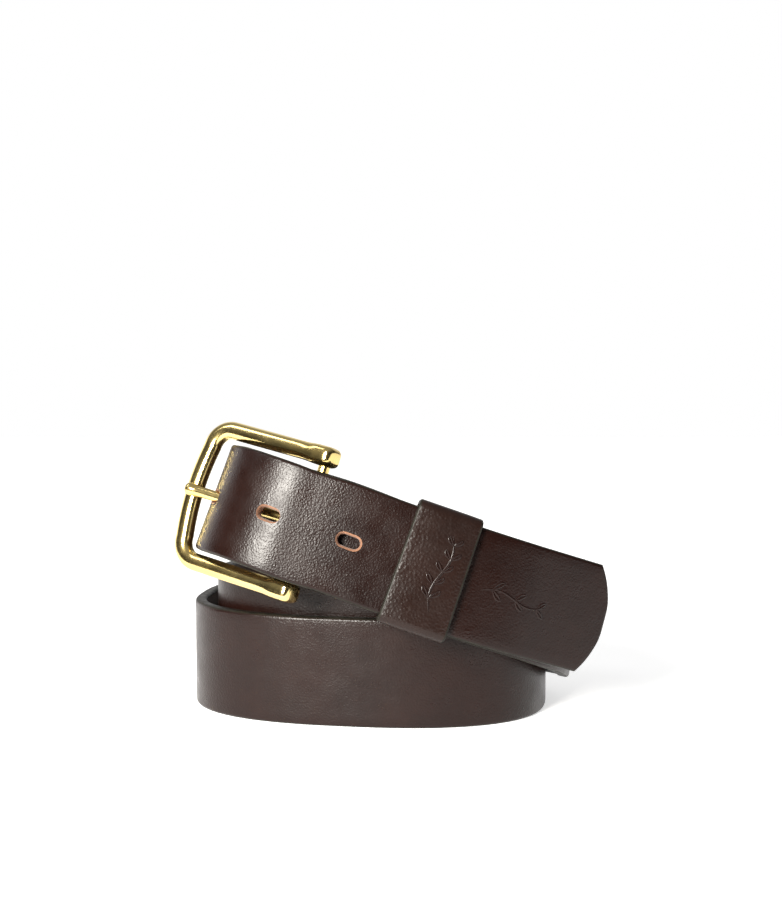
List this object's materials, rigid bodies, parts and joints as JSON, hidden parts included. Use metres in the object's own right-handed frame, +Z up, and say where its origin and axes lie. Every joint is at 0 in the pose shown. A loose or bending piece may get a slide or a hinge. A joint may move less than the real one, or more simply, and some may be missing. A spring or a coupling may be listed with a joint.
{
  "type": "leather belt",
  "caption": "Brown leather belt, buckled and rolled into a coil that stands on edge, with a frame buckle, prong, punched holes and a sliding keeper.",
  "frame": {"origin": "centre of the belt's bounding box, on the surface the coil stands on", "axes": "+Z up across the strap's width, the coil's front wrap and the buckled overlap face -Y, the buckle is at -X and the strap's tip at +X"},
  "size_m": [0.1502, 0.121, 0.1042],
  "materials": {
    "strap_leather": "satin, fine pebbled grain, burnished edges",
    "keeper_leather": "satin, fine pebbled grain",
    "steel_wire": "drawn wire",
    "buckle_brass": "polished solid brass",
    "screw_brass": "turned brass"
  },
  "bodies": {
    "strap_body": {"strap": "strap_leather", "screw_post_1": "screw_brass", "screw_post_2": "screw_brass", "screw_post_3": "screw_brass", "screw_post_4": "screw_brass", "binding_screw_1": "screw_brass", "binding_screw_2": "screw_brass", "binding_screw_3": "screw_brass", "binding_screw_4": "screw_brass"},
    "buckle_body": {"buckle_frame": "buckle_brass", "heel_bar": "buckle_brass"},
    "prong_body": {"prong": "buckle_brass"},
    "keeper_body": {"keeper_loop": "keeper_leather", "keeper_staple": "steel_wire"}
  },
  "joints": [
    {"name": "buckle_hinge", "type": "hinge", "parent": "strap_body", "child": "buckle_body", "pos_m": [-0.02817, -0.04188, 0.07116], "axis": [0.2913, 0.138, 0.9466], "range_deg": [-1, 1]},
    {"name": "prong_hinge", "type": "hinge", "parent": "buckle_body", "child": "prong_body", "pos_m": [-0.02817, -0.04188, 0.07116], "axis": [0.2913, 0.138, 0.9466], "range_deg": [0, 0.9]},
    {"name": "keeper_slide", "type": "slide", "parent": "strap_body", "child": "keeper_body", "axis": [0.9403, 0.0518, -0.3365], "range_m": [-0.0015, 0.0015]}
  ]
}
